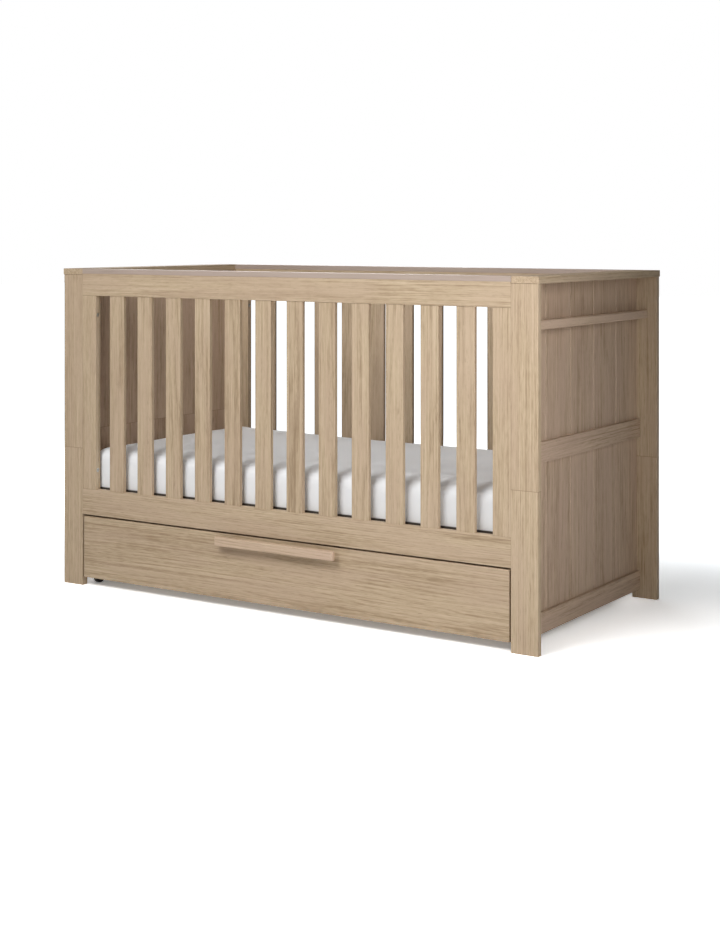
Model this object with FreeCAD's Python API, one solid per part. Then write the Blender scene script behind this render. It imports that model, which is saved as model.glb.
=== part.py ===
"""Wooden baby crib with grooved end panels, slatted long sides and an under-bed drawer on castors.

Millimetres. +X runs along the length to the right, +Y runs to the back, +Z is up.
The origin is on the floor, in the middle of the crib's overall box, drawer handle included.
Every piece is a closed solid of its own, written to parts/NODE.step.
"""
import FreeCAD, Part
import math
import os

# ---------------------------------------------------------------- driving dimensions

# mattress and the bay that holds it
mattress_length = 1400.0
mattress_width = 700.0
mattress_thickness = 120.0
mattress_end_gap = 4.0
mattress_side_gap = 6.0
mattress_corner_radius = 45.0
mattress_edge_radius = 28.0
mattress_drop = 9.5

# end posts, each split into a lower and an upper length
post_width = 74.0
side_thickness = 20.0
post_split_height = 400.0
post_outer_round = 3.5

# caps that close the tops of the two ends
overall_height = 924.0
cap_thickness = 18.0
cap_overhang = 2.0
cap_round = 1.5

# end panels with vertical V grooves
panel_thickness = 14.0
panel_lap = 53.0
plank_count = 5
groove_width = 4.0
groove_depth = 1.8

# rails planted on the outside of the end panels
end_rail_face = 24.0
mid_rail_height = 52.0
foot_rail_bottom = 25.0
foot_rail_height = 52.0
foot_rail_rebate = 6.0
hanging_rail_drop = 93.0
hanging_rail_height = 24.0
hanging_rail_thickness = 18.0
hanging_rail_gap = 15.0
hanging_rail_housing = 8.0
hanging_rail_round = 5.0

# long sides
side_bottom_height = 207.5
side_rail_height = 75.0
stile_width = 51.0
largest_slat_gap = 55.0
slat_width = 53.0
slat_thickness = 12.0
slat_setback = 2.0
slat_housing = 12.0
slat_round = 1.5
rail_round = 1.0

# teething strips clipped over the top rails
strip_height = 14.0
strip_wall = 2.2
strip_top = 3.0
strip_proud = 0.9
strip_round = 1.0

# bolts that hold the long sides to the posts
side_bolt_edge_distance = 56.0
bolt_radius = 3.0
bolt_head_radius = 6.5
bolt_head_length = 5.0
bolt_head_recess = 1.0
bolt_socket_width = 5.0
bolt_socket_depth = 2.5
bolt_reach = 20.0
side_insert_radius = 5.0
side_insert_length = 22.0

# steel pins between the post lengths, wooden dowels between panels and posts
pin_radius = 4.0
pin_length = 60.0
pin_spacing = 30.0
dowel_radius = 3.0
dowel_length = 24.0
dowel_edge_distance = 90.0
dowels_per_edge = 3

# mattress base
base_end_gap = 3.0
base_side_gap = 4.0
base_rail_width = 22.0
base_rail_height = 30.0
base_slat_thickness = 10.0
base_slat_width = 60.0
largest_base_slat_gap = 45.0
base_round = 2.0
bracket_thickness = 3.0
bracket_width = 50.0
bracket_leg = 40.0
base_bolt_inset = 40.0
base_bolt_above_rail_bottom = 15.0
base_levels = 3
base_level_step = 135.0
base_insert_cover = 2.0
base_insert_radius = 5.0

# drawer
drawer_gap = 5.0
drawer_floor_gap = 24.5
drawer_front_thickness = 18.0
drawer_back_gap = 72.0
drawer_board = 15.0
drawer_side_inset = 2.0
drawer_box_height = 120.0
drawer_floor_thickness = 6.0
drawer_floor_lip = 8.0
drawer_floor_housing = 6.0
drawer_front_round = 1.5

# drawer handle
handle_length = 392.0
handle_height = 24.0
handle_thickness = 16.0
handle_gap = 15.0
handle_top_inset = 5.0
handle_end_round = 7.0
handle_edge_round = 2.5
handle_screw_inset = 52.0
handle_spacer_radius = 8.0
handle_screw_radius = 2.0
handle_screw_grip = 11.0
handle_screw_head_radius = 5.0
handle_screw_head_length = 3.0

# castors
wheel_radius = 20.0
wheel_width = 13.0
wheel_round = 2.0
wheel_hub_radius = 8.0
wheel_dish_depth = 2.5
wheel_side_clearance = 0.5
wheel_top_clearance = 4.0
axle_radius = 3.0
axle_running_clearance = 0.08
bracket_wall = 2.0
castor_plate_length = 44.0
castor_cheek_radius = 9.0
castor_front_distance = 56.0
castor_block_size = 60.0
axle_head_length = 1.2
axle_head_radius = 4.5

# blocks that stop the drawer when it is shut
stop_width = 20.0
stop_length = 30.0
stop_height = 40.0
stop_bottom = 80.0
stop_gap = 0.5

# clearance around pieces that sit in housings and holes
fit = 0.1

# ---------------------------------------------------------------- derived places

inner_half = mattress_length / 2 + mattress_end_gap
outer_half = inner_half + post_width
inner_depth = mattress_width + 2 * mattress_side_gap
handle_reach = handle_gap + handle_thickness
overall_depth = inner_depth + 2 * side_thickness
front_face = (handle_reach - overall_depth - strip_proud) / 2
back_face = front_face + overall_depth
front_inner = front_face + side_thickness
back_inner = back_face - side_thickness
middle_y = (front_face + back_face) / 2

cap_bottom = overall_height - cap_thickness
strip_bottom = overall_height - strip_height
rail_top = overall_height - strip_top
top_rail_bottom = rail_top - side_rail_height
bottom_rail_top = side_bottom_height + side_rail_height
stile_inner = inner_half - stile_width
slat_bottom = bottom_rail_top - slat_housing
slat_top = top_rail_bottom + slat_housing
slat_span = 2 * stile_inner
slat_count = math.ceil((slat_span - largest_slat_gap) / (slat_width + largest_slat_gap))
slat_gap = (slat_span - slat_count * slat_width) / (slat_count + 1)
side_bolt_lower = bottom_rail_top + side_bolt_edge_distance
side_bolt_upper = top_rail_bottom - side_bolt_edge_distance

foot_rail_top = foot_rail_bottom + foot_rail_height
lower_panel_bottom = foot_rail_top - foot_rail_rebate
panel_split_height = post_split_height + panel_lap
lower_panel_span = (lower_panel_bottom, panel_split_height)
upper_panel_span = (panel_split_height, cap_bottom)
hanging_rail_bottom = cap_bottom - hanging_rail_drop - hanging_rail_height
hanging_rail_near = inner_half + panel_thickness + hanging_rail_gap
hanging_rail_far = hanging_rail_near + hanging_rail_thickness
plank_width = inner_depth / plank_count

mattress_floor_height = bottom_rail_top - mattress_drop
base_slat_bottom = mattress_floor_height - base_slat_thickness
base_rail_bottom = base_slat_bottom - base_rail_height
base_half = inner_half - base_end_gap
base_slat_count = math.ceil(
    (2 * base_half + largest_base_slat_gap) / (base_slat_width + largest_base_slat_gap))
base_slat_pitch = (2 * base_half - base_slat_width) / (base_slat_count - 1)
base_front = front_inner + base_side_gap
base_back = back_inner - base_side_gap
base_bolt_height = base_rail_bottom + base_bolt_above_rail_bottom
base_bolt_rows = (base_front + base_bolt_inset, base_back - base_bolt_inset)
base_insert_length = panel_thickness - base_insert_cover

drawer_half = inner_half - drawer_gap
drawer_top = side_bottom_height - drawer_gap
drawer_side_half = drawer_half - drawer_side_inset
drawer_back_face = back_face - drawer_back_gap
drawer_box_bottom = 2 * wheel_radius + wheel_top_clearance + bracket_wall
drawer_board_start = front_face + drawer_front_thickness
drawer_floor_bottom = drawer_box_bottom + drawer_floor_lip
drawer_box_top = drawer_box_bottom + drawer_box_height
handle_middle = drawer_top - handle_top_inset - handle_height / 2
handle_screw_x = handle_length / 2 - handle_screw_inset
drawer_inner_half = drawer_side_half - drawer_board
drawer_back_inner = drawer_back_face - drawer_board
# distance of each castor from the middle, and its place from front to back
castor_places = {
    "front": (drawer_side_half - drawer_board / 2, front_face + castor_front_distance),
    "back": (drawer_inner_half - castor_block_size / 2, drawer_back_inner - castor_block_size / 2),
}
cheek_inner = wheel_width / 2 + wheel_side_clearance
cheek_outer = cheek_inner + bracket_wall
plate_bottom = drawer_box_bottom - bracket_wall

ends = {"left": -1, "right": 1}
faces = {"front": 1, "back": -1}
X_AXIS = FreeCAD.Vector(1, 0, 0)
Y_AXIS = FreeCAD.Vector(0, 1, 0)
Z_AXIS = FreeCAD.Vector(0, 0, 1)

nodes = {}


# ---------------------------------------------------------------- shape helpers

def block(x_pair, y_pair, z_pair):
    """Box between two places on each axis, given in either order."""
    x0, x1 = sorted(x_pair)
    y0, y1 = sorted(y_pair)
    z0, z1 = sorted(z_pair)
    return Part.makeBox(x1 - x0, y1 - y0, z1 - z0, FreeCAD.Vector(x0, y0, z0))


def rod(start, axis, length, radius):
    """Cylinder from a start point; a negative length runs against the axis."""
    direction = FreeCAD.Vector(axis)
    if length < 0:
        direction = direction * -1
    return Part.makeCylinder(radius, abs(length), FreeCAD.Vector(*start), direction)


def tube(start, axis, length, radius, bore):
    return rod(start, axis, length, radius).cut(rod(start, axis, length, bore))


def edges_along(shape, axis):
    """Straight edges that run along an axis."""
    found = []
    for edge in shape.Edges:
        run = edge.Vertexes[-1].Point - edge.Vertexes[0].Point
        if run.Length > 0 and abs(abs(run.dot(axis)) - run.Length) < 1e-6:
            found.append(edge)
    return found


def round_along(shape, axis, radius):
    return shape.makeFillet(radius, edges_along(shape, axis))


def from_face(face, distance):
    """Y of a plane at a distance inwards from the front or back outer face."""
    if face == "front":
        return front_face + distance
    return back_face - distance


def group(solids):
    return Part.makeCompound(solids)


def v_groove(x_surface, inwards, y, z_pair):
    """Triangular prism that cuts a vertical V groove into a panel face."""
    half = groove_width / 2
    corners = [
        FreeCAD.Vector(x_surface, y - half, z_pair[0]),
        FreeCAD.Vector(x_surface, y + half, z_pair[0]),
        FreeCAD.Vector(x_surface + inwards * groove_depth, y, z_pair[0]),
    ]
    outline = Part.makePolygon(corners + corners[:1])
    return Part.Face(outline).extrude(FreeCAD.Vector(0, 0, z_pair[1] - z_pair[0]))


def socket_bolt(start, side, shank_length):
    """Bolt along X from the outer face of its head, with a hexagonal socket in the head."""
    head = rod(start, X_AXIS, side * bolt_head_length, bolt_head_radius)
    shank_start = (start[0] + side * bolt_head_length, start[1], start[2])
    shank = rod(shank_start, X_AXIS, side * shank_length, bolt_radius)
    corner_radius = bolt_socket_width / 2 / math.cos(math.pi / 6)
    corners = []
    for turn in range(6):
        angle = turn * math.pi / 3
        corners.append(FreeCAD.Vector(
            start[0],
            start[1] + corner_radius * math.cos(angle),
            start[2] + corner_radius * math.sin(angle),
        ))
    outline = Part.makePolygon(corners + corners[:1])
    socket = Part.Face(outline).extrude(FreeCAD.Vector(side * bolt_socket_depth, 0, 0))
    return head.fuse(shank).removeSplitter().cut(socket)


# ---------------------------------------------------------------- ends

def post_pin_places(side, face):
    """Start points of the two steel pins that join the lengths of one post."""
    middle_x = inner_half + post_width / 2
    y = from_face(face, side_thickness / 2)
    z = post_split_height - pin_length / 2
    return [(side * (middle_x + offset), y, z) for offset in (-pin_spacing / 2, pin_spacing / 2)]


def side_insert_hole(side, face, height):
    start = (side * inner_half, from_face(face, side_thickness / 2), height)
    return rod(start, X_AXIS, side * side_insert_length, side_insert_radius + fit)


def dowel_rows(z_pair):
    """Heights of the dowels along one edge of a panel."""
    low = z_pair[0] + dowel_edge_distance
    high = z_pair[1] - dowel_edge_distance
    step = (high - low) / (dowels_per_edge - 1)
    return [low + index * step for index in range(dowels_per_edge)]


def panel_dowel(side, face, height, radius, length):
    """Rod across the joint between a panel edge and its post."""
    x = side * (inner_half + panel_thickness / 2)
    y = from_face(face, side_thickness) - length / 2
    return rod((x, y, height), Y_AXIS, length, radius)


def hanging_rail_blank(side, grow):
    """Rail between the posts, with its ends housed in them."""
    return block(
        (side * (hanging_rail_near - grow), side * (hanging_rail_far + grow)),
        (front_inner - hanging_rail_housing, back_inner + hanging_rail_housing),
        (hanging_rail_bottom - grow, hanging_rail_bottom + hanging_rail_height + grow),
    )


def make_post(side, face, z_pair, bolt_height):
    y_pair = (from_face(face, 0), from_face(face, side_thickness))
    post = block((side * inner_half, side * outer_half), y_pair, z_pair)
    outer_edges = []
    for edge in edges_along(post, Z_AXIS):
        if abs(abs(edge.Vertexes[0].X) - outer_half) < 1e-6:
            outer_edges.append(edge)
    post = post.makeFillet(post_outer_round, outer_edges)
    cutters = [side_insert_hole(side, face, bolt_height)]
    for place in post_pin_places(side, face):
        cutters.append(rod(place, Z_AXIS, pin_length, pin_radius + fit))
    for span in (lower_panel_span, upper_panel_span):
        for height in dowel_rows(span):
            cutters.append(panel_dowel(side, face, height, dowel_radius + fit, dowel_length))
    if z_pair[1] > hanging_rail_bottom:
        cutters.append(round_along(hanging_rail_blank(side, fit), Y_AXIS, hanging_rail_round))
    return post.cut(cutters)


def base_insert_holes(side):
    holes = []
    for y in base_bolt_rows:
        for level in range(base_levels):
            height = base_bolt_height + level * base_level_step
            start = (side * inner_half, y, height)
            holes.append(rod(start, X_AXIS, side * base_insert_length, base_insert_radius + fit))
    return holes


def make_panel(side, z_pair):
    panel = block(
        (side * inner_half, side * (inner_half + panel_thickness)),
        (front_inner, back_inner),
        z_pair,
    )
    cutters = base_insert_holes(side)
    for joint in range(1, plank_count):
        y = front_inner + joint * plank_width
        cutters.append(v_groove(side * inner_half, side, y, z_pair))
        cutters.append(v_groove(side * (inner_half + panel_thickness), -side, y, z_pair))
    for face in faces:
        for height in dowel_rows(z_pair):
            cutters.append(panel_dowel(side, face, height, dowel_radius + fit, dowel_length))
    return panel.cut(cutters)


def make_foot_rail(side):
    """Bottom rail with a rebate on its inner edge, where the lower panel stands."""
    rail = block(
        (side * inner_half, side * (inner_half + end_rail_face)),
        (front_inner, back_inner),
        (foot_rail_bottom, foot_rail_top),
    )
    rebate = block(
        (side * inner_half, side * (inner_half + panel_thickness)),
        (front_inner, back_inner),
        (lower_panel_bottom, foot_rail_top),
    )
    return rail.cut(rebate)


def make_ends():
    pins = []
    dowels = []
    for end, side in ends.items():
        for face in faces:
            corner = end + "_" + face
            nodes[corner + "_post_lower"] = make_post(
                side, face, (0.0, post_split_height), side_bolt_lower)
            nodes[corner + "_post_upper"] = make_post(
                side, face, (post_split_height, cap_bottom), side_bolt_upper)
            for place in post_pin_places(side, face):
                pins.append(rod(place, Z_AXIS, pin_length, pin_radius))
            for span in (lower_panel_span, upper_panel_span):
                for height in dowel_rows(span):
                    dowels.append(panel_dowel(side, face, height, dowel_radius, dowel_length))
        cap = block(
            (side * inner_half, side * (outer_half + cap_overhang)),
            (front_face, back_face),
            (cap_bottom, overall_height),
        )
        nodes[end + "_cap"] = round_along(round_along(cap, Y_AXIS, cap_round), X_AXIS, cap_round)
        nodes[end + "_panel_lower"] = make_panel(side, lower_panel_span)
        nodes[end + "_panel_upper"] = make_panel(side, upper_panel_span)
        mid_rail = block(
            (side * (inner_half + panel_thickness), side * (inner_half + end_rail_face)),
            (front_inner, back_inner),
            (panel_split_height, panel_split_height + mid_rail_height),
        )
        nodes[end + "_mid_rail"] = mid_rail
        nodes[end + "_foot_rail"] = make_foot_rail(side)
        nodes[end + "_hanging_rail"] = round_along(
            hanging_rail_blank(side, 0.0), Y_AXIS, hanging_rail_round)
    nodes["post_pins"] = group(pins)
    nodes["panel_dowels"] = group(dowels)


# ---------------------------------------------------------------- long sides

def slat_left_edges():
    first = -stile_inner + slat_gap
    return [first + index * (slat_width + slat_gap) for index in range(slat_count)]


def slat_blank(face, left, grow):
    return block(
        (left - grow, left + slat_width + grow),
        (from_face(face, slat_setback - grow), from_face(face, slat_setback + slat_thickness + grow)),
        (slat_bottom, slat_top),
    )


def strip_rebate_depth():
    """How far each face of the top rail is cut back under the teething strip."""
    return strip_wall + fit - strip_proud


def make_top_rail(face):
    rail = block(
        (-inner_half, inner_half),
        (from_face(face, 0), from_face(face, side_thickness)),
        (top_rail_bottom, rail_top),
    )
    rail = round_along(rail, X_AXIS, rail_round)
    cut_back = strip_rebate_depth()
    cutters = [slat_blank(face, left, fit) for left in slat_left_edges()]
    for distance in (0.0, side_thickness - cut_back):
        cutters.append(block(
            (-inner_half, inner_half),
            (from_face(face, distance), from_face(face, distance + cut_back)),
            (strip_bottom - fit, rail_top),
        ))
    return rail.cut(cutters)


def make_bottom_rail(face):
    rail = block(
        (-inner_half, inner_half),
        (from_face(face, 0), from_face(face, side_thickness)),
        (side_bottom_height, bottom_rail_top),
    )
    rail = round_along(rail, X_AXIS, rail_round)
    return rail.cut([slat_blank(face, left, fit) for left in slat_left_edges()])


def make_stile(side, face):
    """Stile with a counterbored hole across it for each side bolt."""
    stile = block(
        (side * stile_inner, side * inner_half),
        (from_face(face, 0), from_face(face, side_thickness)),
        (bottom_rail_top, top_rail_bottom),
    )
    stile = round_along(stile, Z_AXIS, rail_round)
    y = from_face(face, side_thickness / 2)
    cutters = []
    for height in (side_bolt_lower, side_bolt_upper):
        start = (side * stile_inner, y, height)
        cutters.append(rod(start, X_AXIS, side * stile_width, bolt_radius + fit))
        seat = bolt_head_recess + bolt_head_length
        cutters.append(rod(start, X_AXIS, side * seat, bolt_head_radius + fit))
    return stile.cut(cutters)


def make_teething_strip(face):
    """Plastic channel clipped over the top rail, between the two caps."""
    outer = block(
        (-inner_half, inner_half),
        (from_face(face, -strip_proud), from_face(face, side_thickness + strip_proud)),
        (strip_bottom, overall_height),
    )
    top_edges = []
    for edge in edges_along(outer, X_AXIS):
        if edge.Vertexes[0].Z > overall_height - 1e-6:
            top_edges.append(edge)
    outer = outer.makeFillet(strip_round, top_edges)
    channel = block(
        (-inner_half, inner_half),
        (from_face(face, strip_wall - strip_proud),
         from_face(face, side_thickness + strip_proud - strip_wall)),
        (strip_bottom, rail_top),
    )
    return outer.cut(channel)


def make_long_sides():
    bolts = []
    inserts = []
    shank = stile_width - bolt_head_recess - bolt_head_length + bolt_reach
    for face in faces:
        nodes[face + "_top_rail"] = make_top_rail(face)
        nodes[face + "_bottom_rail"] = make_bottom_rail(face)
        slats = []
        for left in slat_left_edges():
            slats.append(round_along(slat_blank(face, left, 0.0), Z_AXIS, slat_round))
        nodes[face + "_slats"] = group(slats)
        nodes[face + "_teething_strip"] = make_teething_strip(face)
        y = from_face(face, side_thickness / 2)
        for end, side in ends.items():
            nodes[face + "_" + end + "_stile"] = make_stile(side, face)
            for height in (side_bolt_lower, side_bolt_upper):
                start = (side * (stile_inner + bolt_head_recess), y, height)
                bolts.append(socket_bolt(start, side, shank))
                insert_start = (side * inner_half, y, height)
                inserts.append(tube(
                    insert_start, X_AXIS, side * side_insert_length,
                    side_insert_radius, bolt_radius + fit))
    nodes["side_bolts"] = group(bolts)
    nodes["side_inserts"] = group(inserts)


# ---------------------------------------------------------------- mattress and its base

def make_mattress():
    half_length = mattress_length / 2
    half_width = mattress_width / 2
    body = block(
        (-half_length, half_length),
        (middle_y - half_width, middle_y + half_width),
        (mattress_floor_height, mattress_floor_height + mattress_thickness),
    )
    body = round_along(body, Z_AXIS, mattress_corner_radius)
    rim = []
    for edge in body.Edges:
        heights = [vertex.Z for vertex in edge.Vertexes]
        if max(heights) - min(heights) < 1e-6:
            rim.append(edge)
    nodes["mattress"] = body.makeFillet(mattress_edge_radius, rim)


def base_bolt_hole(side, y):
    start = (side * (base_half - base_rail_width), y, base_bolt_height)
    length = base_rail_width + base_end_gap
    return rod(start, X_AXIS, side * length, bolt_radius + fit)


def make_bracket(side, y):
    """Steel angle: one leg between the base and the panel, one leg under the base."""
    y_pair = (y - bracket_width / 2, y + bracket_width / 2)
    upright = block(
        (side * (inner_half - bracket_thickness), side * inner_half),
        y_pair,
        (base_rail_bottom - bracket_thickness, base_slat_bottom),
    )
    foot = block(
        (side * (inner_half - bracket_leg), side * inner_half),
        y_pair,
        (base_rail_bottom - bracket_thickness, base_rail_bottom),
    )
    angle = upright.fuse(foot).removeSplitter()
    return angle.cut(base_bolt_hole(side, y))


def make_base():
    rail_heights = (base_rail_bottom, base_slat_bottom)
    long_half = base_half - base_rail_width
    front_rail = block((-long_half, long_half), (base_front, base_front + base_rail_width), rail_heights)
    back_rail = block((-long_half, long_half), (base_back - base_rail_width, base_back), rail_heights)
    nodes["base_front_rail"] = round_along(front_rail, X_AXIS, base_round)
    nodes["base_back_rail"] = round_along(back_rail, X_AXIS, base_round)
    brackets = []
    bolts = []
    inserts = []
    for end, side in ends.items():
        rail = block((side * long_half, side * base_half), (base_front, base_back), rail_heights)
        holes = [base_bolt_hole(side, y) for y in base_bolt_rows]
        nodes["base_" + end + "_rail"] = round_along(rail, Y_AXIS, base_round).cut(holes)
        for y in base_bolt_rows:
            brackets.append(make_bracket(side, y))
            start = (side * (long_half - bolt_head_length), y, base_bolt_height)
            reach = base_rail_width + base_end_gap + base_insert_length
            bolts.append(socket_bolt(start, side, reach))
            for level in range(base_levels):
                height = base_bolt_height + level * base_level_step
                inserts.append(tube(
                    (side * inner_half, y, height), X_AXIS, side * base_insert_length,
                    base_insert_radius, bolt_radius + fit))
    nodes["base_brackets"] = group(brackets)
    nodes["base_bolts"] = group(bolts)
    nodes["base_inserts"] = group(inserts)
    slats = []
    for index in range(base_slat_count):
        left = -base_half + index * base_slat_pitch
        slat = block(
            (left, left + base_slat_width),
            (base_front, base_back),
            (base_slat_bottom, mattress_floor_height),
        )
        slats.append(round_along(slat, Y_AXIS, base_round))
    nodes["base_slats"] = group(slats)


# ---------------------------------------------------------------- drawer

def drawer_floor_blank(grow):
    half = drawer_inner_half + drawer_floor_housing
    return block(
        (-half, half),
        (drawer_board_start - drawer_floor_housing, drawer_back_inner + drawer_floor_housing),
        (drawer_floor_bottom - grow, drawer_floor_bottom + drawer_floor_thickness + grow),
    )


def handle_rod(x, start_y, length, radius):
    return rod((x, start_y, handle_middle), Y_AXIS, length, radius)


def make_handle():
    near = front_face - handle_gap
    bar = block(
        (-handle_length / 2, handle_length / 2),
        (near, near - handle_thickness),
        (handle_middle - handle_height / 2, handle_middle + handle_height / 2),
    )
    bar = round_along(bar, Z_AXIS, handle_end_round)
    rim = []
    for edge in bar.Edges:
        heights = [vertex.Z for vertex in edge.Vertexes]
        if max(heights) - min(heights) < 1e-6:
            rim.append(edge)
    bar = bar.makeFillet(handle_edge_round, rim)
    spacers = []
    screws = []
    for x in (-handle_screw_x, handle_screw_x):
        bar = bar.cut(handle_rod(x, near, -handle_screw_grip, handle_screw_radius + fit))
        spacers.append(tube(
            (x, front_face, handle_middle), Y_AXIS, -handle_gap,
            handle_spacer_radius, handle_screw_radius + fit))
        shank_length = drawer_front_thickness + handle_gap + handle_screw_grip
        shank = handle_rod(x, drawer_board_start, -shank_length, handle_screw_radius)
        head = handle_rod(x, drawer_board_start, handle_screw_head_length, handle_screw_head_radius)
        screws.append(head.fuse(shank).removeSplitter())
    nodes["drawer_handle"] = bar
    nodes["handle_spacers"] = group(spacers)
    nodes["handle_screws"] = group(screws)


def make_castor_bracket(x, y):
    """Plate under the drawer with two cheeks that hold the axle."""
    half = castor_plate_length / 2
    bracket = block((x - cheek_outer, x + cheek_outer), (y - half, y + half), (plate_bottom, drawer_box_bottom))
    for near, far in ((cheek_inner, cheek_outer), (-cheek_outer, -cheek_inner)):
        rounded = rod((x + near, y, wheel_radius), X_AXIS, far - near, castor_cheek_radius)
        web = block(
            (x + near, x + far),
            (y - castor_cheek_radius, y + castor_cheek_radius),
            (wheel_radius, plate_bottom),
        )
        bracket = bracket.fuse([rounded, web])
    bore = rod((x - cheek_outer, y, wheel_radius), X_AXIS, 2 * cheek_outer, axle_radius)
    return bracket.removeSplitter().cut(bore)


def make_axle(x, y):
    """Riveted axle, headed outside both cheeks."""
    pin = rod((x - cheek_outer, y, wheel_radius), X_AXIS, 2 * cheek_outer, axle_radius)
    left_head = rod((x - cheek_outer, y, wheel_radius), X_AXIS, -axle_head_length, axle_head_radius)
    right_head = rod((x + cheek_outer, y, wheel_radius), X_AXIS, axle_head_length, axle_head_radius)
    return pin.fuse([left_head, right_head]).removeSplitter()


def make_wheel(x, y):
    """Castor wheel with a rounded tread and a dished face on each side."""
    start = (x - wheel_width / 2, y, wheel_radius)
    wheel = rod(start, X_AXIS, wheel_width, wheel_radius)
    rims = [edge for edge in wheel.Edges if len(edge.Vertexes) == 1]
    wheel = wheel.makeFillet(wheel_round, rims)
    dish_outer = wheel_radius - 2 * wheel_round
    for place in (x - wheel_width / 2, x + wheel_width / 2 - wheel_dish_depth):
        wheel = wheel.cut(tube((place, y, wheel_radius), X_AXIS, wheel_dish_depth, dish_outer, wheel_hub_radius))
    return wheel.cut(rod(start, X_AXIS, wheel_width, axle_radius + axle_running_clearance))


def make_castors():
    brackets = []
    axles = []
    for row, (reach, y) in castor_places.items():
        for end, side in ends.items():
            x = side * reach
            brackets.append(make_castor_bracket(x, y))
            axles.append(make_axle(x, y))
            nodes["castor_wheel_" + row + "_" + end] = make_wheel(x, y)
    nodes["castor_brackets"] = group(brackets)
    nodes["castor_axles"] = group(axles)


def castor_blocks():
    """Blocks glued under the floor in the back corners, which carry the back castors."""
    blocks = []
    for side in ends.values():
        blocks.append(block(
            (side * (drawer_inner_half - castor_block_size), side * drawer_inner_half),
            (drawer_back_inner - castor_block_size, drawer_back_inner),
            (drawer_box_bottom, drawer_floor_bottom),
        ))
    return blocks


def make_drawer():
    floor_housing = drawer_floor_blank(fit)
    front = block((-drawer_half, drawer_half), (front_face, drawer_board_start), (drawer_floor_gap, drawer_top))
    front_edges = []
    for edge in front.Edges:
        if max(vertex.Y for vertex in edge.Vertexes) < front_face + 1e-6:
            front_edges.append(edge)
    front = front.makeFillet(drawer_front_round, front_edges)
    cutters = [floor_housing]
    for x in (-handle_screw_x, handle_screw_x):
        cutters.append(handle_rod(x, front_face, drawer_front_thickness, handle_screw_radius + fit))
    nodes["drawer_front"] = front.cut(cutters)
    box_heights = (drawer_box_bottom, drawer_box_top)
    for end, side in ends.items():
        board = block(
            (side * drawer_inner_half, side * drawer_side_half),
            (drawer_board_start, drawer_back_face),
            box_heights,
        )
        nodes["drawer_" + end + "_side"] = board.cut(floor_housing)
    back = block((-drawer_inner_half, drawer_inner_half), (drawer_back_inner, drawer_back_face), box_heights)
    nodes["drawer_back"] = back.fuse(castor_blocks()).removeSplitter().cut(floor_housing)
    nodes["drawer_floor"] = drawer_floor_blank(0.0)
    stops = []
    for side in ends.values():
        stops.append(block(
            (side * (inner_half - stop_width), side * inner_half),
            (drawer_back_face + stop_gap, drawer_back_face + stop_gap + stop_length),
            (stop_bottom, stop_bottom + stop_height),
        ))
    nodes["drawer_stops"] = group(stops)


# ---------------------------------------------------------------- build

make_ends()
make_long_sides()
make_mattress()
make_base()
make_drawer()
make_handle()
make_castors()

os.makedirs("parts", exist_ok=True)
for name, shape in nodes.items():
    shape.exportStep("parts/" + name + ".step")
print(len(nodes), "nodes")
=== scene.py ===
"""Looks of a baby crib with a drawer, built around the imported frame.

Lengths are in metres, in the frame's axes.
"""
import math

import bpy
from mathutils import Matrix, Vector


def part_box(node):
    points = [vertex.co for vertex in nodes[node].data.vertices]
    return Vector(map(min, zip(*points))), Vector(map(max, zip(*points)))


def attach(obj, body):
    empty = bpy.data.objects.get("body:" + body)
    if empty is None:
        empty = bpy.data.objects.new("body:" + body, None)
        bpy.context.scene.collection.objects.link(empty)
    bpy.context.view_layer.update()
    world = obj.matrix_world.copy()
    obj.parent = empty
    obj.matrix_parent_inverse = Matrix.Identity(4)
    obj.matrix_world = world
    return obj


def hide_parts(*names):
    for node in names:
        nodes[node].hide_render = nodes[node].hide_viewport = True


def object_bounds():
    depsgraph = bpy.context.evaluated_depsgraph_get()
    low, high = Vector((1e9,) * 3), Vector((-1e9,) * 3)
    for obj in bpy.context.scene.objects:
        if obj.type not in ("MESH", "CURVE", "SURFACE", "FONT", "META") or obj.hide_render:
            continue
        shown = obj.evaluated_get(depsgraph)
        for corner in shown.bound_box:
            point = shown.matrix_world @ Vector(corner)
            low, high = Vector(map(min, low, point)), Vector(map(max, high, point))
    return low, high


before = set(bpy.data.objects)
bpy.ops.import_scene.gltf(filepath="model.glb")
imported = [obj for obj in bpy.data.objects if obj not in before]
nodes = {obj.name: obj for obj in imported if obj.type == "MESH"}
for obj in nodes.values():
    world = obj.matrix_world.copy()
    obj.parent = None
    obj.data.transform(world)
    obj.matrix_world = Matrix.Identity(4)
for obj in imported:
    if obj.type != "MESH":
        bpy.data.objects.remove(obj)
cad_low, cad_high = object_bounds()

# ---------------------------------------------------------------- camera

CAMERA_PLACE = (2.57376, -3.91168, 1.03526)
CAMERA_TURN = math.radians(33.06)
CAMERA_SENSOR = 36.0
CAMERA_LENS = 63.256
CAMERA_SHIFT_Y = -0.2515
CAMERA_REACH = 60.0


def make_camera():
    """A level camera, its frame shifted down so that upright lines stay upright."""
    data = bpy.data.cameras.new("camera")
    data.sensor_width = CAMERA_SENSOR
    data.lens = CAMERA_LENS
    data.shift_y = CAMERA_SHIFT_Y
    data.clip_end = CAMERA_REACH
    camera = bpy.data.objects.new("camera", data)
    camera.location = CAMERA_PLACE
    camera.rotation_euler = (math.radians(90), 0.0, CAMERA_TURN)
    bpy.context.scene.collection.objects.link(camera)
    bpy.context.scene.camera = camera


# ---------------------------------------------------------------- studio

WHITE = (1, 1, 1, 1)
BACKDROP_WHITE = 1.0
WORLD_LIGHT = 0.02
FLOOR_SIZE = 40.0
FLOOR_TONE = 0.86
FLOOR_ROUGHNESS = 0.9
FLOOR_SPECULAR = 0.1
# from where to where the far floor begins and the painted shade on the floor under the object ends,
# as distances outside the object's footprint
FAR_FLOOR = (0.15, 1.1)
PAINTED_FLOOR_SHADE_SPAN = (-0.14, 0.0)
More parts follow.
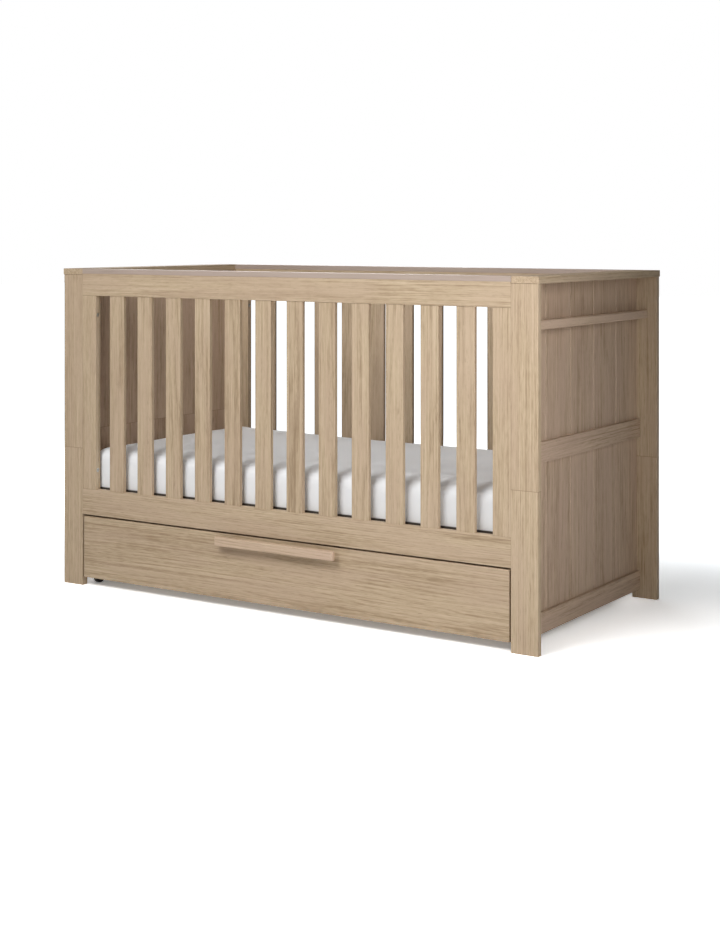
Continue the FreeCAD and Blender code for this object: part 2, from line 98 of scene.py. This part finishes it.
# the light the floor gives off, and how much more it gives far from the object
FLOOR_GLOW = 0.07
FAR_FLOOR_GLOW = 0.08
# the floor as the camera sees it, overexposed as in a high-key studio: its tone, and the painted
# white glow (veil) over it: weaker under the object as painted shade, then beside it, and how much
# more far from it
FLOOR_EXPOSURE = 1.75
FLOOR_VEIL_TINT = (0.94, 0.995, 1.03, 1)
PAINTED_FLOOR_SHADE_VEIL = 0.13
FLOOR_VEIL = 0.24
FAR_FLOOR_VEIL = 1.0
# name: place, aim, size across and up, power in watts, spread in degrees
LIGHTS = {
    "key": ((0.0, -2.6, 2.2), (0.0, 0.0, 0.46), (1.6, 1.2), 52.0, 180.0),
    "over_front": ((0.0, -1.5, 3.0), (0.0, 0.0, 0.46), (2.4, 1.6), 18.0, 180.0),
    "over_mattress": ((0.0, 0.05, 3.0), (0.0, 0.02, 0.0), (1.3, 0.55), 1.1, 50.0),
    "back_left": ((-1.9, 2.4, 1.5), (0.0, 0.1, 0.40), (1.8, 1.2), 26.0, 180.0),
    "right_front": ((1.75, -0.95, 1.0), (0.74, -0.42, 0.60), (0.4, 0.9), 3.3, 90.0),
}


def make_world():
    """White behind the object, and a softer white as the light that comes from all round."""
    world = bpy.data.worlds.new("studio")
    world.use_nodes = True
    tree = world.node_tree
    tree.nodes.clear()
    path = tree.nodes.new("ShaderNodeLightPath")
    seen = tree.nodes.new("ShaderNodeBackground")
    seen.inputs["Strength"].default_value = BACKDROP_WHITE
    seen.inputs["Color"].default_value = WHITE
    light = tree.nodes.new("ShaderNodeBackground")
    light.inputs["Strength"].default_value = WORLD_LIGHT
    light.inputs["Color"].default_value = WHITE
    mix = tree.nodes.new("ShaderNodeMixShader")
    out = tree.nodes.new("ShaderNodeOutputWorld")
    tree.links.new(path.outputs["Is Camera Ray"], mix.inputs[0])
    tree.links.new(light.outputs[0], mix.inputs[1])
    tree.links.new(seen.outputs[0], mix.inputs[2])
    tree.links.new(mix.outputs[0], out.inputs[0])
    bpy.context.scene.world = world


def make_lights():
    """Large soft panels, each turned to its aim."""
    for name, (place, aim, size, power, spread) in LIGHTS.items():
        data = bpy.data.lights.new(name, "AREA")
        data.shape = "RECTANGLE"
        data.size, data.size_y = size
        data.energy = power
        data.spread = math.radians(spread)
        lamp = bpy.data.objects.new(name, data)
        lamp.location = place
        direction = Vector(aim) - Vector(place)
        lamp.rotation_euler = direction.to_track_quat("-Z", "Y").to_euler()
        lamp.visible_camera = False
        bpy.context.scene.collection.objects.link(lamp)


# ---------------------------------------------------------------- material graphs

class Graph:
    """A material's node tree, built node by node. Arguments are numbers, vectors or sockets."""

    def __init__(self, name):
        self.material = bpy.data.materials.new(name)
        self.material.use_nodes = True
        self.tree = self.material.node_tree
        self.shader = self.tree.nodes["Principled BSDF"]

    def put(self, socket, value):
        if isinstance(value, bpy.types.NodeSocket):
            self.tree.links.new(value, socket)
        else:
            socket.default_value = value

    def node(self, kind, inputs=(), **settings):
        made = self.tree.nodes.new(kind)
        for key, value in settings.items():
            setattr(made, key, value)
        for key, value in dict(inputs).items():
            self.put(made.inputs[key], value)
        return made

    def math(self, operation, first, second=0.0, third=0.0):
        made = self.node("ShaderNodeMath", operation=operation)
        for socket, value in zip(made.inputs, (first, second, third)):
            self.put(socket, value)
        return made.outputs[0]

    def vector(self, operation, first, second=(0, 0, 0)):
        made = self.node("ShaderNodeVectorMath", operation=operation)
        self.put(made.inputs[0], first)
        self.put(made.inputs[1], second)
        return made.outputs["Value" if operation == "LENGTH" else "Vector"]

    def place(self):
        """The point's place in the frame, which rides with the piece."""
        return self.node("ShaderNodeTexCoord").outputs["Object"]

    def parts(self, vector):
        return self.node("ShaderNodeSeparateXYZ", {0: vector}).outputs

    def joined(self, x, y, z):
        return self.node("ShaderNodeCombineXYZ", {0: x, 1: y, 2: z}).outputs[0]

    def noise(self, vector, scale, detail=2.0, roughness=0.5):
        """Noise from 0 to 1 about 0.5. scale is cycles per metre on each axis."""
        stretched = self.vector("MULTIPLY", vector, scale)
        inputs = {"Vector": stretched, "Scale": 1.0, "Detail": detail, "Roughness": roughness}
        return self.node("ShaderNodeTexNoise", inputs).outputs["Fac"]

    def ramp(self, value, stops):
        """stops: (place, colour) pairs; a colour is a grey number or three numbers."""
        made = self.node("ShaderNodeValToRGB", {0: value})
        elements = made.color_ramp.elements
        while len(elements) < len(stops):
            elements.new(1.0)
        for element, (where, colour) in zip(elements, stops):
            element.position = where
            if not isinstance(colour, tuple):
                colour = (colour,) * 3
            element.color = (*colour, 1)
        return made.outputs["Color"]

    def rise(self, value, span):
        """0 below the span, 1 above it, and a smooth step between."""
        inputs = {0: value, 1: span[0], 2: span[1], 3: 0.0, 4: 1.0}
        made = self.node("ShaderNodeMapRange", inputs, interpolation_type="SMOOTHSTEP")
        return made.outputs[0]

    def mix(self, share, first, second):
        """The first colour at share 0, the second at share 1."""
        made = self.node("ShaderNodeMix", data_type="RGBA")
        self.put(made.inputs["Factor"], share)
        for key, value in ((6, first), (7, second)):
            if isinstance(value, tuple):
                value = (*value, 1)
            self.put(made.inputs[key], value)
        return made.outputs[2]

    def bump(self, height, distance, strength):
        inputs = {"Height": height, "Distance": distance, "Strength": strength}
        return self.node("ShaderNodeBump", inputs).outputs[0]

    def finish(self, colour, roughness, normal=None, **shader_values):
        self.put(self.shader.inputs["Base Color"], colour)
        self.put(self.shader.inputs["Roughness"], roughness)
        if normal is not None:
            self.put(self.shader.inputs["Normal"], normal)
        for key, value in shader_values.items():
            self.shader.inputs[key.replace("_", " ")].default_value = value
        return self.material


def make_floor():
    """A plain pale floor with painted shade under the object, which glows to plain white further
    away.
    """
    half = FLOOR_SIZE / 2
    mesh = bpy.data.meshes.new("floor")
    corners = [(-half, -half, 0), (half, -half, 0), (half, half, 0), (-half, half, 0)]
    mesh.from_pydata(corners, [], [(0, 1, 2, 3)])
    floor = bpy.data.objects.new("floor", mesh)
    bpy.context.scene.collection.objects.link(floor)
    graph = Graph("floor")
    x, y, _ = graph.parts(graph.place())
    outside = []
    for coordinate, low, high in zip((x, y), cad_low, cad_high):
        offset = graph.math("ABSOLUTE", graph.math("SUBTRACT", coordinate, (low + high) / 2))
        outside.append(graph.math("SUBTRACT", offset, (high - low) / 2))
    distance = graph.math("MAXIMUM", *outside)
    far = graph.rise(distance, FAR_FLOOR)
    glow = graph.math("MULTIPLY_ADD", far, FAR_FLOOR_GLOW, FLOOR_GLOW)
    graph.put(graph.shader.inputs["Emission Strength"], glow)
    graph.shader.inputs["Emission Color"].default_value = WHITE
    mesh.materials.append(graph.finish((FLOOR_TONE,) * 3 + (1,), FLOOR_ROUGHNESS,
                                       Specular_IOR_Level=FLOOR_SPECULAR))
    bright = graph.node("ShaderNodeBsdfDiffuse", {"Color": (FLOOR_EXPOSURE,) * 3 + (1,)})
    # the glow the camera sees is weaker under the object: painted shade there
    veil = graph.rise(distance, PAINTED_FLOOR_SHADE_SPAN)
    veil = graph.math("MULTIPLY_ADD", veil, FLOOR_VEIL - PAINTED_FLOOR_SHADE_VEIL, PAINTED_FLOOR_SHADE_VEIL)
    veil = graph.math("MULTIPLY_ADD", far, FAR_FLOOR_VEIL, veil)
    veil = graph.node("ShaderNodeEmission", {"Strength": veil, "Color": FLOOR_VEIL_TINT})
    seen = graph.node("ShaderNodeAddShader", {0: bright.outputs[0], 1: veil.outputs[0]})
    path = graph.node("ShaderNodeLightPath")
    shares = {0: path.outputs["Is Camera Ray"], 1: graph.shader.outputs[0], 2: seen.outputs[0]}
    shown = graph.node("ShaderNodeMixShader", shares)
    graph.put(graph.tree.nodes["Material Output"].inputs["Surface"], shown.outputs[0])


# ---------------------------------------------------------------- wood

# colours from the dark to the light of the figure, the warmer blush and the pores, and the contrast
OAK = {
    "dark": (0.34, 0.240, 0.148), "middle": (0.505, 0.385, 0.256), "light": (0.60, 0.475, 0.330),
    "blush": (0.525, 0.392, 0.280), "pore": (0.24, 0.165, 0.100), "contrast": 1.75,
}
END_OAK = {
    "dark": (0.34, 0.232, 0.150), "middle": (0.510, 0.372, 0.262), "light": (0.61, 0.460, 0.338),
    "blush": (0.535, 0.385, 0.290), "pore": (0.24, 0.160, 0.104), "contrast": 1.75,
}
HANDLE_OAK = {
    "dark": (0.42, 0.30, 0.20), "middle": (0.565, 0.420, 0.300), "light": (0.64, 0.50, 0.365),
    "blush": (0.585, 0.425, 0.325), "pore": (0.30, 0.20, 0.13), "contrast": 1.1,
}
PINE = {
    "dark": (0.52, 0.35, 0.18), "middle": (0.70, 0.53, 0.33), "light": (0.78, 0.63, 0.43),
    "blush": (0.72, 0.52, 0.36), "pore": (0.50, 0.33, 0.18), "contrast": 1.1,
}
BOARD = {
    "dark": (0.50, 0.40, 0.29), "middle": (0.60, 0.49, 0.365), "light": (0.66, 0.55, 0.42),
    "blush": (0.61, 0.48, 0.37), "pore": (0.42, 0.32, 0.22), "contrast": 0.6,
}
# figures: the rings' pitch, how far the pith lies to either side and behind the face (least, and
# how much more), how far it swings and how far the rings wander, and how strongly they show
STRAIGHT = {
    "ring": 0.0040, "side": 0.060, "depth": (0.070, 0.060), "swing": 0.005, "wander": 0.0011,
    "show": 0.45,
}
PLANK = {
    "ring": 0.0036, "side": 0.055, "depth": (0.034, 0.050), "swing": 0.004, "wander": 0.0012,
    "show": 0.26,
}
CATHEDRAL = {
    "ring": 0.0038, "side": 0.026, "depth": (0.016, 0.024), "swing": 0.008, "wander": 0.0026,
    "show": 0.40,
}
RING_UNEVENNESS = 3.0
# the tone across one ring, from the early wood to the late, and its mean
RING_PROFILE = [(0.0, 0.30), (0.10, 0.05), (0.30, 0.55), (0.70, 0.90), (0.92, 0.85), (1.0, 0.30)]
RING_MEAN = 0.64
# rings come and go: where their strength is below this share, they reverse faintly
RING_FADE = 0.12
# layers of the tone besides the rings: cycles per metre on the board's width, thickness and grain,
# detail, roughness, and share of the tone
TONE_LAYERS = {
    "fibre": ((520.0, 520.0, 7.0), 3.0, 0.6, 0.75),
    "fleck": ((240.0, 240.0, 26.0), 2.0, 0.6, 0.60),
    "streak": ((170.0, 170.0, 1.8), 3.0, 0.7, 1.05),
    "patch": ((14.0, 14.0, 1.2), 1.0, 0.5, 0.25),
}
# how much one board's tone differs from the next
BOARD_TONE = 0.14
# the pith line's sway to the sides, and the rate of its swing behind the face along the board
PITH_SWAY = 0.030
PITH_SWING_RATE = 2.6
# how dark and how much rougher the pores are, and the fibres' least roughness and how much more
PORE_SHADE = 0.5
PORE_ROUGHNESS = 0.15
FIBRE_ROUGHNESS = (0.46, 0.16)
GRAIN_DEPTH = 0.00012
GRAIN_STRENGTH = 0.7
# the dark line where two boards meet: from where to where it fades, and how dark it is
JOINT_LINE = (0.0004, 0.0011)
JOINT_SHADE = 0.62
# multiples of these, less their whole part, are spread evenly from 0 to 1
RANDOM_STEPS = (0.6180339887, 0.7548776662, 0.5698402910)
# how far apart the figures of two boards can be read: thickness, width, grain
FAR_APART = (5.0, 3.0, 9.0)
LABEL_STEP = 7.3


def wood(name, tones, figure, axes, seed, cell=None, joints=()):
    """Sawn wood. axes: the board's width, thickness and grain axes as letters, such as "XYZ".
    cell: (axis letter, start, pitch) where one node holds several boards side by side.
    joints: (axis letter, coordinate) of the planes where the board meets another."""
    graph = Graph(name)
    x, y, z = graph.parts(graph.place())
    by_letter = {"X": x, "Y": y, "Z": z}
    width, thickness, grain = (by_letter[letter] for letter in axes)
    random_x, random_y, random_z = ((seed * step) % 1.0 for step in RANDOM_STEPS)
    tone_shift = random_x - 0.5
    if cell:
        letter, start, pitch = cell
        index = graph.math("SUBTRACT", by_letter[letter], start)
        index = graph.math("FLOOR", graph.math("DIVIDE", index, pitch))
        label = graph.math("ADD", index, seed * LABEL_STEP)
        chance = graph.node("ShaderNodeTexWhiteNoise", {"W": label}, noise_dimensions="1D")
        chance = chance.outputs
        tone_shift = graph.math("SUBTRACT", chance["Value"], 0.5)
        random_x, random_y, random_z = graph.parts(chance["Color"])
        if letter == axes[0]:
            centre = graph.math("MULTIPLY_ADD", index, pitch, start + pitch / 2)
            width = graph.math("SUBTRACT", width, centre)
    # noise is read from far-apart places, so that no two boards share a figure
    along = graph.math("MULTIPLY_ADD", random_z, FAR_APART[2], grain)
    board = graph.joined(graph.math("MULTIPLY_ADD", random_y, FAR_APART[1], width),
                         graph.math("MULTIPLY_ADD", random_x, FAR_APART[0], thickness), along)
    # growth rings round a pith line that lies beside and behind the board's face
    swing = graph.math("SINE", graph.math("MULTIPLY", along, PITH_SWING_RATE))
    sway = graph.math("SUBTRACT", graph.noise(board, (2.0, 2.0, 0.8), 0.0), 0.5)
    wander = graph.math("SUBTRACT", graph.noise(board, (24.0, 24.0, 2.6), 2.0), 0.5)
    pith_side = graph.math("MULTIPLY_ADD", random_x, 2 * figure["side"], -figure["side"])
    side = graph.math("MULTIPLY_ADD", sway, PITH_SWAY, graph.math("SUBTRACT", width, pith_side))
    pith_depth = graph.math("MULTIPLY_ADD", random_y, figure["depth"][1], figure["depth"][0])
    depth = graph.math("ADD", thickness, pith_depth)
    depth = graph.math("MULTIPLY_ADD", swing, figure["swing"], depth)
    radius = graph.vector("LENGTH", graph.joined(side, depth, 0.0))
    radius = graph.math("MULTIPLY_ADD", wander, 2 * figure["wander"], radius)
    uneven = graph.noise(graph.joined(radius, random_x, random_y), (75.0, 9.0, 9.0), 1.0)
    ring = graph.math("DIVIDE", radius, figure["ring"])
    ring = graph.math("FRACT", graph.math("MULTIPLY_ADD", uneven, RING_UNEVENNESS, ring))
    profile = graph.ramp(ring, RING_PROFILE)
    # the tone: rings that come and go, fibres, flecks, long streaks and broad patches
    strength = graph.noise(board, (26.0, 26.0, 1.4), 1.0)
    contrast = tones["contrast"]
    ringed = figure["show"] * contrast
    value = graph.math("MULTIPLY", graph.math("SUBTRACT", profile, RING_MEAN),
                       graph.math("MULTIPLY_ADD", strength, ringed, -RING_FADE * ringed))
    layers = {}
    for layer, (scale, detail, evenness, share) in TONE_LAYERS.items():
        layers[layer] = graph.noise(board, scale, detail, evenness)
        offset = graph.math("SUBTRACT", layers[layer], 0.5)
        value = graph.math("MULTIPLY_ADD", offset, share * contrast, value)
    fibre = layers["fibre"]
    value = graph.math("MULTIPLY_ADD", tone_shift, BOARD_TONE, value)
    value = graph.math("ADD", value, 0.5)
    stops = [(0.0, tones["dark"]), (0.5, tones["middle"]), (1.0, tones["light"])]
    colour = graph.ramp(value, stops)
    hue = graph.ramp(graph.noise(board, (20.0, 20.0, 3.5), 1.0), [(0.42, 0.0), (0.62, 0.5)])
    colour = graph.mix(hue, colour, tones["blush"])
    # open pores: short dark dashes, mostly in the dark part of each ring
    pore = graph.noise(board, (950.0, 950.0, 45.0), 1.0)
    early = graph.ramp(ring, [(0.0, 1.0), (0.35, 0.35), (0.9, 0.2), (1.0, 1.0)])
    pore = graph.math("MULTIPLY", graph.ramp(pore, [(0.58, 0.0), (0.66, 1.0)]), early)
    colour = graph.mix(graph.math("MULTIPLY", pore, PORE_SHADE), colour, tones["pore"])
    for letter, plane in joints:
        gap = graph.math("ABSOLUTE", graph.math("SUBTRACT", by_letter[letter], plane))
        shade = graph.math("SUBTRACT", 1.0, graph.rise(gap, JOINT_LINE))
        colour = graph.mix(graph.math("MULTIPLY", shade, JOINT_SHADE), colour, tones["pore"])
    roughness = graph.math("MULTIPLY_ADD", fibre, FIBRE_ROUGHNESS[1], FIBRE_ROUGHNESS[0])
    roughness = graph.math("MULTIPLY_ADD", pore, PORE_ROUGHNESS, roughness)
    height = graph.math("SUBTRACT", graph.math("MULTIPLY", fibre, 0.4), pore)
    normal = graph.bump(height, GRAIN_DEPTH, GRAIN_STRENGTH)
    return graph.finish(colour, roughness, normal, IOR=1.46, Specular_IOR_Level=0.42)


def paint(node, material):
    """Gives a CAD node's slots this material."""
    for slot in nodes[node].material_slots:
        slot.material = material


def node_seed(node):
    """A number for each node, the same on each run."""
    return 1 + sorted(nodes).index(node)


def joint_planes(node, marks):
    """The planes named by marks such as "Z+ X-": the upper or lower end of the box on an axis."""
    low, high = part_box(node)
    planes = []
    for mark in marks.split():
        end = high if mark[1] == "+" else low
        planes.append((mark[0], end["XYZ".index(mark[0])]))
    return planes


def paint_wood(node, tones, axes, cell=None, figure=STRAIGHT, joints=""):
    """Gives a CAD node its own wood material."""
    planes = joint_planes(node, joints)
    paint(node, wood(node + "_wood", tones, figure, axes, node_seed(node), cell, planes))


def row_cell(node, count, width, axis):
    """The cells of a row of equal boards, as (axis, start, pitch), from the node's box."""
    low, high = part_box(node)
    index = "XYZ".index(axis)
    pitch = (high[index] - low[index] - width) / (count - 1)
    return axis, low[index] + (width - pitch) / 2, pitch


# wider than half the object
SIDE_CELL = 1.0


def side_cell(axis):
    """Two cells, one on each side of the middle, for a node with a board at each end."""
    return axis, -SIDE_CELL, SIDE_CELL


# ---------------------------------------------------------------- metal, plastic

def steel(name, tone, dull):
    """Zinc-plated steel: slightly mottled, with fine turning marks."""
    graph = Graph(name)
    place = graph.place()
    mottle = graph.noise(place, (260.0, 260.0, 260.0), 3.0, 0.6)
    marks = graph.noise(place, (4000.0, 300.0, 4000.0), 2.0)
    colour = graph.ramp(mottle, [(0.3, tuple(0.86 * c for c in tone)), (0.7, tone)])
    roughness = graph.math("MULTIPLY_ADD", marks, 0.22, dull)
    return graph.finish(colour, roughness, graph.bump(marks, 0.00003, 0.5), Metallic=1.0)


def strip_plastic():
    """The soft translucent strip over the rail: the wood shows through, greyer and smoother."""
    graph = Graph("strip_plastic_skin")
    place = graph.place()
    under = graph.noise(place, (3.0, 90.0, 90.0), 3.0, 0.6)
    cloud = graph.noise(place, (9.0, 40.0, 40.0), 2.0)
    colour = graph.ramp(under, [(0.25, (0.40, 0.315, 0.262)), (0.75, (0.475, 0.385, 0.330))])
    colour = graph.mix(graph.ramp(cloud, [(0.4, 0.0), (0.7, 0.35)]), colour, (0.47, 0.37, 0.335))
    scuff = graph.noise(place, (35.0, 900.0, 900.0), 2.0)
    roughness = graph.math("MULTIPLY_ADD", scuff, 0.18, 0.28)
    return graph.finish(colour, roughness, graph.bump(scuff, 0.00006, 0.35),
                        IOR=1.45, Coat_Weight=0.15, Coat_Roughness=0.25)


def moulded(name, tone, grain_scale, rough):
    """Moulded plastic with a fine spark-eroded texture and slight wear in its tone."""
    graph = Graph(name)
    place = graph.place()
    texture = graph.noise(place, (grain_scale,) * 3, 2.0)
    wear = graph.noise(place, (90.0, 90.0, 90.0), 3.0, 0.6)
    colour = graph.ramp(wear, [(0.3, tone), (0.8, tuple(1.7 * c + 0.006 for c in tone))])
    roughness = graph.math("MULTIPLY_ADD", texture, 0.2, rough)
    return graph.finish(colour, roughness, graph.bump(texture, 0.00008, 0.6), IOR=1.5)


# ---------------------------------------------------------------- finishes of the frame's pieces

PLANKS = 5
SLATS = 12
SLAT_WIDTH = 0.053
BASE_SLATS = 14
BASE_SLAT_WIDTH = 0.060


def paint_ends():
    for end in ("left", "right"):
        for face in ("front", "back"):
            paint_wood(f"{end}_{face}_post_lower", OAK, "XYZ", joints="Z+")
            paint_wood(f"{end}_{face}_post_upper", OAK, "XYZ", joints="Z- Z+")
        paint_wood(end + "_cap", OAK, "XZY")
        for level, joints in (("lower", "Z+"), ("upper", "Z- Z+")):
            node = f"{end}_panel_{level}"
            low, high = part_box(node)
            planks = ("Y", low.y, (high.y - low.y) / PLANKS)
            paint_wood(node, END_OAK, "YXZ", planks, PLANK, joints)
        paint_wood(end + "_mid_rail", END_OAK, "ZXY", joints="Y- Y+")
        paint_wood(end + "_foot_rail", END_OAK, "ZXY", joints="Y- Y+")
        paint_wood(end + "_hanging_rail", HANDLE_OAK, "ZXY")


def paint_long_sides():
    plastic = strip_plastic()
    for face in ("front", "back"):
        paint_wood(face + "_top_rail", OAK, "ZYX", figure=CATHEDRAL, joints="X- X+")
        paint_wood(face + "_bottom_rail", OAK, "ZYX", figure=CATHEDRAL, joints="X- X+")
        paint_wood(face + "_left_stile", OAK, "XYZ", joints="X- Z- Z+")
        paint_wood(face + "_right_stile", OAK, "XYZ", joints="X+ Z- Z+")
        slats = face + "_slats"
        paint_wood(slats, OAK, "XYZ", row_cell(slats, SLATS, SLAT_WIDTH, "X"))
        paint(face + "_teething_strip", plastic)


def paint_base_and_drawer():
    for side in ("front", "back"):
        paint_wood(f"base_{side}_rail", PINE, "ZYX")
    for side in ("left", "right"):
        paint_wood(f"base_{side}_rail", PINE, "ZXY")
        paint_wood(f"drawer_{side}_side", BOARD, "ZXY")
    base_cell = row_cell("base_slats", BASE_SLATS, BASE_SLAT_WIDTH, "X")
    paint_wood("base_slats", PINE, "XZY", base_cell)
    paint_wood("drawer_stops", PINE, "XYZ", side_cell("X"))
    paint_wood("drawer_front", OAK, "ZYX", figure=CATHEDRAL)
    paint_wood("drawer_back", BOARD, "ZYX")
    paint_wood("drawer_floor", BOARD, "YZX")
    paint_wood("drawer_handle", HANDLE_OAK, "ZYX")
    paint_wood("handle_spacers", HANDLE_OAK, "XYZ", side_cell("X"))


def paint_fittings():
    bright = steel("bright_steel", (0.66, 0.65, 0.62), 0.18)
    dull = steel("dull_steel", (0.50, 0.50, 0.49), 0.30)
    for node in ("side_bolts", "base_bolts", "handle_screws", "castor_axles"):
        paint(node, bright)
    for node in ("side_inserts", "base_inserts", "base_brackets"):
        paint(node, dull)
    for node in ("post_pins", "panel_dowels"):
        paint_wood(node, PINE, "XYZ")
    tread = moulded("castor_tread_skin", (0.020, 0.020, 0.022), 1500.0, 0.45)
    for node in nodes:
        if node.startswith("castor_wheel"):
            paint(node, tread)
    paint("castor_brackets", moulded("castor_bracket_skin", (0.032, 0.032, 0.034), 900.0, 0.38))


# ---------------------------------------------------------------- mattress

# the even mesh's cell, the cloth's inner pressure and steps, the furthest that a point may swell,
# and the height up to which the cloth is held where it rests on the base
MATTRESS_VOXEL = 0.010
MATTRESS_PRESSURE = 4.0
MATTRESS_FRAMES = 20
CLOTH_QUALITY = 5
MATTRESS_CAP = 0.007
RESTING_BAND = 0.006
SMOOTHING = (3, 0.5)
# the sheet's own size: how far it stays inside the mattress's box, how far its crown stands over
# it, and how much the left end stands higher, from where to where
SHEET_INSET = 0.002
SHEET_CROWN = 0.003
SHEET_RISE = 0.006
SHEET_RISE_SPAN = (0.10, 0.65)
# the sheet hangs straight to near its lower edge: the heights over which that begins, and the
# distance in from the side, before and after
LOWER_BAND = (0.022, 0.034)
LOWER_TUCK = ((0.0, 0.0), (0.028, 0.009), (0.060, 0.060))
# painted shade along the sheet's lower edge: the heights above the mattress's floor over which it
# fades out, and its dark colour
PAINTED_SHADE_BAND = (0.0125, 0.0150)
PAINTED_SHADE_TONE = (0.075, 0.060, 0.050)
# radians per metre of thread
WEAVE = 2 * math.pi / 0.0009


def cover_fabric():
    """A white fitted sheet: a fine plain weave with soft unevenness, and painted shade along its
    lower edge.
    """
    graph = Graph("mattress_sheet")
    place = graph.place()
    x, y, z = graph.parts(place)
    threads = []
    for first, second in ((x, y), (z, graph.math("ADD", x, y))):
        warp = graph.math("SINE", graph.math("MULTIPLY", first, WEAVE))
        weft = graph.math("SINE", graph.math("MULTIPLY", second, WEAVE))
        threads.append(graph.math("MULTIPLY", warp, weft))
    weave = graph.math("ADD", threads[0], threads[1])
    slub = graph.noise(place, (700.0, 700.0, 700.0), 2.0)
    cloud = graph.noise(place, (12.0, 12.0, 12.0), 3.0, 0.55)
    value = graph.math("MULTIPLY_ADD", slub, 0.5, graph.math("MULTIPLY", cloud, 0.5))
    colour = graph.ramp(value, [(0.30, (0.925, 0.945, 0.975)), (0.70, (0.955, 0.970, 0.990))])
    floor_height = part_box("mattress")[0].z
    # the lowest band is painted dark, as the shade in the gap under the sheet's lower edge
    above_painted_shade = graph.rise(z, (floor_height + PAINTED_SHADE_BAND[0], floor_height + PAINTED_SHADE_BAND[1]))
    colour = graph.mix(above_painted_shade, PAINTED_SHADE_TONE, colour)
    height = graph.math("MULTIPLY_ADD", weave, 0.25, slub)
    normal = graph.bump(height, 0.00025, 0.5)
    roughness = graph.math("MULTIPLY_ADD", slub, 0.1, 0.86)
    return graph.finish(colour, roughness, normal, Specular_IOR_Level=0.2, Sheen_Weight=0.25,
                        Sheen_Roughness=0.5)


def new_object(name, mesh):
    made = bpy.data.objects.new(name, mesh)
    bpy.context.scene.collection.objects.link(made)
    return made


def applied_mesh(piece):
    """The piece's mesh with its modifiers applied."""
    bpy.context.view_layer.update()
    evaluated = piece.evaluated_get(bpy.context.evaluated_depsgraph_get())
    return bpy.data.meshes.new_from_object(evaluated)


def bake_modifiers(piece):
    mesh = applied_mesh(piece)
    piece.modifiers.clear()
    old = piece.data
    piece.data = mesh
    bpy.data.meshes.remove(old)


def mattress_form():
    """The mattress's own rounded block as an even mesh."""
    piece = new_object("mattress_cover", nodes["mattress"].data.copy())
    piece.data.materials.clear()
    remesh = piece.modifiers.new("remesh", "REMESH")
    remesh.mode = "VOXEL"
    remesh.voxel_size = MATTRESS_VOXEL
    bake_modifiers(piece)
    return piece


def inflate(piece):
    """Cloth under pressure, pinned where it rests on the base: the top crowns, the sides swell."""
    low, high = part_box("mattress")
    rest = [vertex.co.copy() for vertex in piece.data.vertices]
    pin = piece.vertex_groups.new(name="pin")
    pin.add([i for i, co in enumerate(rest) if co.z < low.z + RESTING_BAND], 1.0, "REPLACE")
    cloth = piece.modifiers.new("cloth", "CLOTH")
    cloth.settings.use_pressure = True
    cloth.settings.uniform_pressure_force = MATTRESS_PRESSURE
    cloth.settings.vertex_group_mass = "pin"
    cloth.settings.effector_weights.gravity = 0.0
    cloth.settings.quality = CLOTH_QUALITY
    cloth.collision_settings.use_collision = False
    for step in range(1, MATTRESS_FRAMES + 1):
        bpy.context.scene.frame_set(step)
    bake_modifiers(piece)
    bpy.context.scene.frame_set(1)
    for vertex, was in zip(piece.data.vertices, rest):
        move = vertex.co - was
        if move.length > MATTRESS_CAP:
            vertex.co = was + move.normalized() * MATTRESS_CAP


def tucked(depth):
    """Distance in from the mattress's side after the lower edge is drawn tighter."""
    for (start, start_to), (end, end_to) in zip(LOWER_TUCK, LOWER_TUCK[1:]):
        if depth < end:
            return start_to + (depth - start) * (end_to - start_to) / (end - start)
    return depth


def tighten_lower_edge(points, low, high):
    """Gives the sheet a tighter turn at its lower edge than the mattress's own rounding."""
    for point in points:
        share = (low.z + LOWER_BAND[1] - point.z) / (LOWER_BAND[1] - LOWER_BAND[0])
        share = min(max(share, 0.0), 1.0)
        for axis in range(2):
            middle = (low[axis] + high[axis]) / 2
            side = 1 if point[axis] > middle else -1
            edge = (high[axis] - low[axis]) / 2 - SHEET_INSET
            depth = edge - side * (point[axis] - middle)
            point[axis] += side * share * (depth - tucked(max(depth, 0.0)))


def fit_sheet(piece):
    """Brings the swollen block back to the sheet's size, and lifts its left end a little."""
    low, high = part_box("mattress")
    points = [vertex.co for vertex in piece.data.vertices]
    target_low = (low.x + SHEET_INSET, low.y + SHEET_INSET, low.z)
    target_high = (high.x - SHEET_INSET, high.y - SHEET_INSET, high.z + SHEET_CROWN)
    for axis in range(3):
        near = min(point[axis] for point in points)
        far = max(point[axis] for point in points)
        scale = (target_high[axis] - target_low[axis]) / (far - near)
        for point in points:
            point[axis] = target_low[axis] + (point[axis] - near) * scale
    tighten_lower_edge(points, low, high)
    start, end = SHEET_RISE_SPAN
    for point in points:
        share = min(max((-point.x - start) / (end - start), 0.0), 1.0)
        share *= share * (3 - 2 * share)
        point.z += SHEET_RISE * share * (point.z - low.z) / (high.z - low.z)


def make_mattress():
    piece = mattress_form()
    inflate(piece)
    smooth = piece.modifiers.new("smooth", "SMOOTH")
    smooth.iterations, smooth.factor = SMOOTHING
    subdivide = piece.modifiers.new("subdivide", "SUBSURF")
    subdivide.levels = subdivide.render_levels = 1
    bake_modifiers(piece)
    fit_sheet(piece)
    for polygon in piece.data.polygons:
        polygon.use_smooth = True
    piece.data.materials.append(cover_fabric())
    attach(piece, "mattress")
    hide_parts("mattress")


make_camera()
make_world()
make_lights()
make_floor()
paint_ends()
paint_long_sides()
paint_base_and_drawer()
paint_fittings()
make_mattress()

bpy.context.scene.view_settings.view_transform = "Standard"
